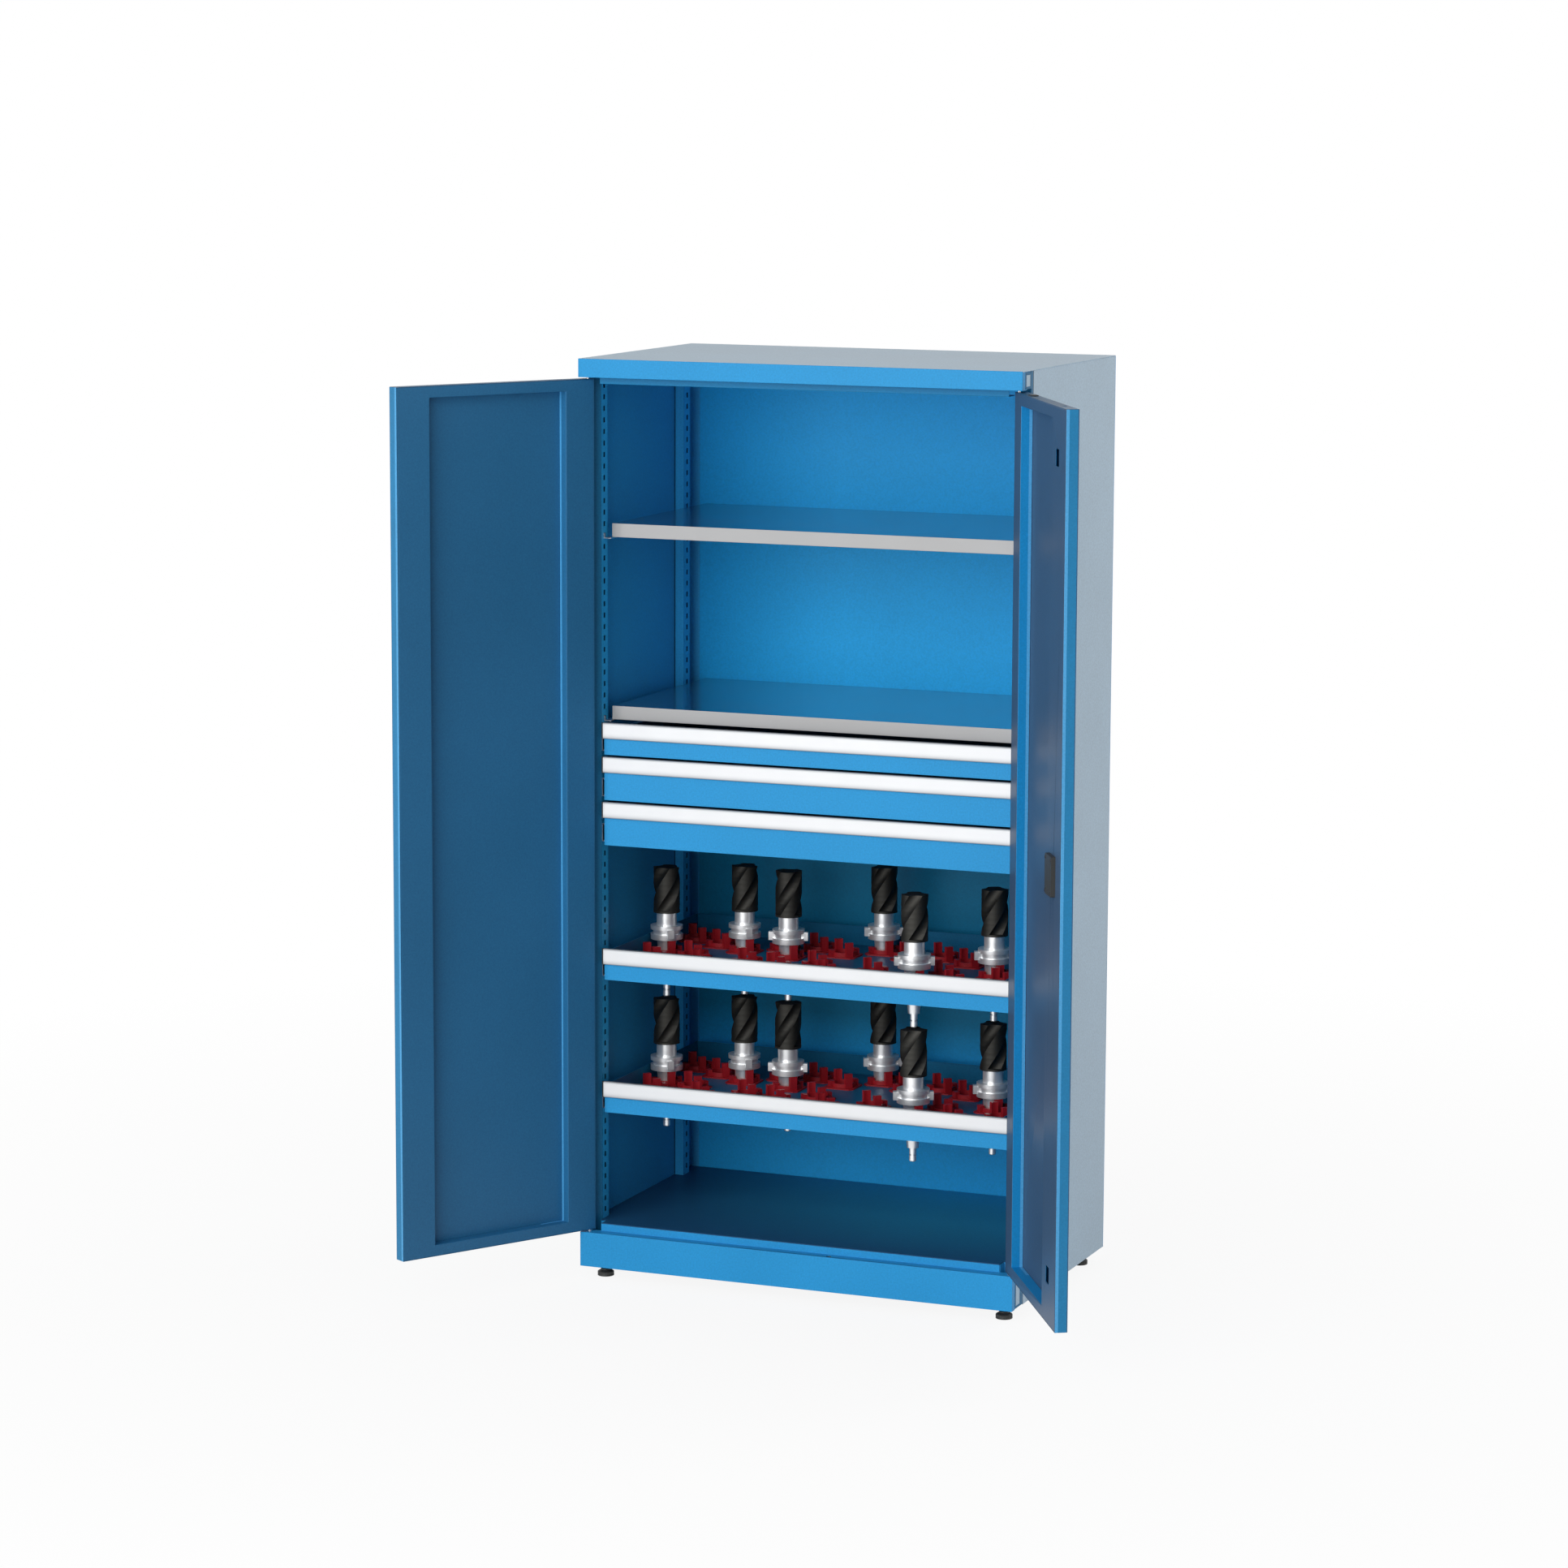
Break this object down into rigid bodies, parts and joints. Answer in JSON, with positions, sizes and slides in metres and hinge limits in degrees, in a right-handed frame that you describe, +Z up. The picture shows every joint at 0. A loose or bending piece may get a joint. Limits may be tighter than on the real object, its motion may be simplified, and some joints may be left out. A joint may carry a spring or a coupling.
{
  "type": "tool cabinet",
  "caption": "Tall two-door steel tool cabinet on levelling feet with shelves, shallow drawers and pull-out racks of router bits in taper holders.",
  "frame": {"origin": "on the floor under the middle of the cabinet body, doors not counted", "axes": "+X to the right seen from the front, +Y to the back, +Z up"},
  "size_m": [1.5218, 1.0179, 2.03],
  "materials": {
    "body_grey": "light grey semi-gloss powder coat",
    "frame_blue": "light blue semi-gloss powder coat",
    "door_blue": "blue semi-gloss powder coat",
    "front_blue": "light blue semi-gloss powder coat",
    "tray_blue": "blue semi-gloss powder coat",
    "shelf_grey": "galvanised sheet",
    "black_plastic": "fine moulded grain",
    "dark_steel": "blackened steel",
    "zinc_steel": "bright zinc plate",
    "handle_black": "satin black",
    "nickel": "nickel plate",
    "handle_aluminium": "satin anodised extrusion",
    "insert_red": "moulded red plastic",
    "holder_steel": "ground and polished steel",
    "cutter_black": "dark coated tool steel"
  },
  "bodies": {
    "cabinet": {"back_panel": "body_grey", "fixed_slide_rails": "zinc_steel", "floor_panel": "frame_blue", "foot_pads": "black_plastic", "foot_studs": "dark_steel", "front_uprights": "frame_blue", "header": "frame_blue", "hinge_pins": "zinc_steel", "left_side_panel": "body_grey", "lower_shelf": "shelf_grey", "member_end_caps": "body_grey", "plinth": "frame_blue", "rear_uprights": "frame_blue", "right_side_panel": "body_grey", "shelf_clips": "zinc_steel", "top_panel": "body_grey", "upper_shelf": "shelf_grey"},
    "left_door": {"left_door_skin": "door_blue", "left_door_frame": "door_blue", "left_hinge_bushes": "zinc_steel"},
    "right_door": {"right_door_skin": "door_blue", "right_door_frame": "door_blue", "right_hinge_bushes": "zinc_steel", "lock_case": "black_plastic", "lock_rose": "handle_black", "lock_cylinder": "nickel", "rod_guides": "black_plastic", "door_top_buffer": "black_plastic"},
    "lock_handle_body": {"lock_handle": "handle_black"},
    "upper_rod_body": {"upper_lock_rod": "zinc_steel"},
    "lower_rod_body": {"lower_lock_rod": "zinc_steel"},
    "top_drawer": {"top_drawer_front": "front_blue", "top_drawer_handle": "handle_aluminium", "top_drawer_handle_caps": "black_plastic", "top_drawer_tray": "tray_blue"},
    "top_drawer_slides": {"top_drawer_middle_slides": "zinc_steel"},
    "middle_drawer": {"middle_drawer_front": "front_blue", "middle_drawer_handle": "handle_aluminium", "middle_drawer_handle_caps": "black_plastic", "middle_drawer_tray": "tray_blue"},
    "middle_drawer_slides": {"middle_drawer_middle_slides": "zinc_steel"},
    "bottom_drawer": {"bottom_drawer_front": "front_blue", "bottom_drawer_handle": "handle_aluminium", "bottom_drawer_handle_caps": "black_plastic", "bottom_drawer_tray": "tray_blue"},
    "bottom_drawer_slides": {"bottom_drawer_middle_slides": "zinc_steel"},
    "upper_rack": {"upper_rack_cutters": "cutter_black", "upper_rack_frame": "front_blue", "upper_rack_handle": "handle_aluminium", "upper_rack_handle_caps": "black_plastic", "upper_rack_inserts": "insert_red", "upper_rack_tool_holders": "holder_steel"},
    "upper_rack_slides": {"upper_rack_middle_slides": "zinc_steel"},
    "lower_rack": {"lower_rack_cutters": "cutter_black", "lower_rack_frame": "front_blue", "lower_rack_handle": "handle_aluminium", "lower_rack_handle_caps": "black_plastic", "lower_rack_inserts": "insert_red", "lower_rack_tool_holders": "holder_steel"},
    "lower_rack_slides": {"lower_rack_middle_slides": "zinc_steel"}
  },
  "joints": [
    {"name": "left_door_swing", "type": "hinge", "parent": "cabinet", "child": "left_door", "pos_m": [-0.491, -0.287, 0.11], "axis": [0, 0, -1], "range_deg": [-121, 9]},
    {"name": "right_door_swing", "type": "hinge", "parent": "cabinet", "child": "right_door", "pos_m": [0.491, -0.287, 0.11], "axis": [0, 0, 1], "range_deg": [-121, 9]},
    {"name": "lock_handle_turn", "type": "hinge", "parent": "right_door", "child": "lock_handle_body", "pos_m": [0.72025, -0.62874, 1.041], "axis": [-0.8572, -0.515, 0], "range_deg": [0, 90]},
    {"name": "upper_rod_travel", "type": "slide", "parent": "right_door", "child": "upper_rod_body", "axis": [0, 0, 1], "range_m": [0, 0.0202]},
    {"name": "lower_rod_travel", "type": "slide", "parent": "right_door", "child": "lower_rod_body", "axis": [0, 0, -1], "range_m": [0, 0.0202]},
    {"name": "top_drawer_travel", "type": "slide", "parent": "cabinet", "child": "top_drawer", "axis": [0, -1, 0], "range_m": [0, 0.45]},
    {"name": "top_drawer_slides_travel", "type": "slide", "parent": "cabinet", "child": "top_drawer_slides", "axis": [0, -1, 0], "range_m": [0, 0.2251]},
    {"name": "middle_drawer_travel", "type": "slide", "parent": "cabinet", "child": "middle_drawer", "axis": [0, -1, 0], "range_m": [0, 0.45]},
    {"name": "middle_drawer_slides_travel", "type": "slide", "parent": "cabinet", "child": "middle_drawer_slides", "axis": [0, -1, 0], "range_m": [0, 0.2251]},
    {"name": "bottom_drawer_travel", "type": "slide", "parent": "cabinet", "child": "bottom_drawer", "axis": [0, -1, 0], "range_m": [0, 0.45]},
    {"name": "bottom_drawer_slides_travel", "type": "slide", "parent": "cabinet", "child": "bottom_drawer_slides", "axis": [0, -1, 0], "range_m": [0, 0.2251]},
    {"name": "upper_rack_travel", "type": "slide", "parent": "cabinet", "child": "upper_rack", "axis": [0, -1, 0], "range_m": [0, 0.45]},
    {"name": "upper_rack_slides_travel", "type": "slide", "parent": "cabinet", "child": "upper_rack_slides", "axis": [0, -1, 0], "range_m": [0, 0.2251]},
    {"name": "lower_rack_travel", "type": "slide", "parent": "cabinet", "child": "lower_rack", "axis": [0, -1, 0], "range_m": [0, 0.45]},
    {"name": "lower_rack_slides_travel", "type": "slide", "parent": "cabinet", "child": "lower_rack_slides", "axis": [0, -1, 0], "range_m": [0, 0.2251]}
  ],
  "couplings": [
    {"joint": "upper_rod_travel", "follows": "lock_handle_turn", "m_per_rad": 0.012732},
    {"joint": "lower_rod_travel", "follows": "lock_handle_turn", "m_per_rad": 0.012732},
    {"joint": "top_drawer_slides_travel", "follows": "top_drawer_travel", "ratio": 0.5},
    {"joint": "middle_drawer_slides_travel", "follows": "middle_drawer_travel", "ratio": 0.5},
    {"joint": "bottom_drawer_slides_travel", "follows": "bottom_drawer_travel", "ratio": 0.5},
    {"joint": "upper_rack_slides_travel", "follows": "upper_rack_travel", "ratio": 0.5},
    {"joint": "lower_rack_slides_travel", "follows": "lower_rack_travel", "ratio": 0.5}
  ]
}
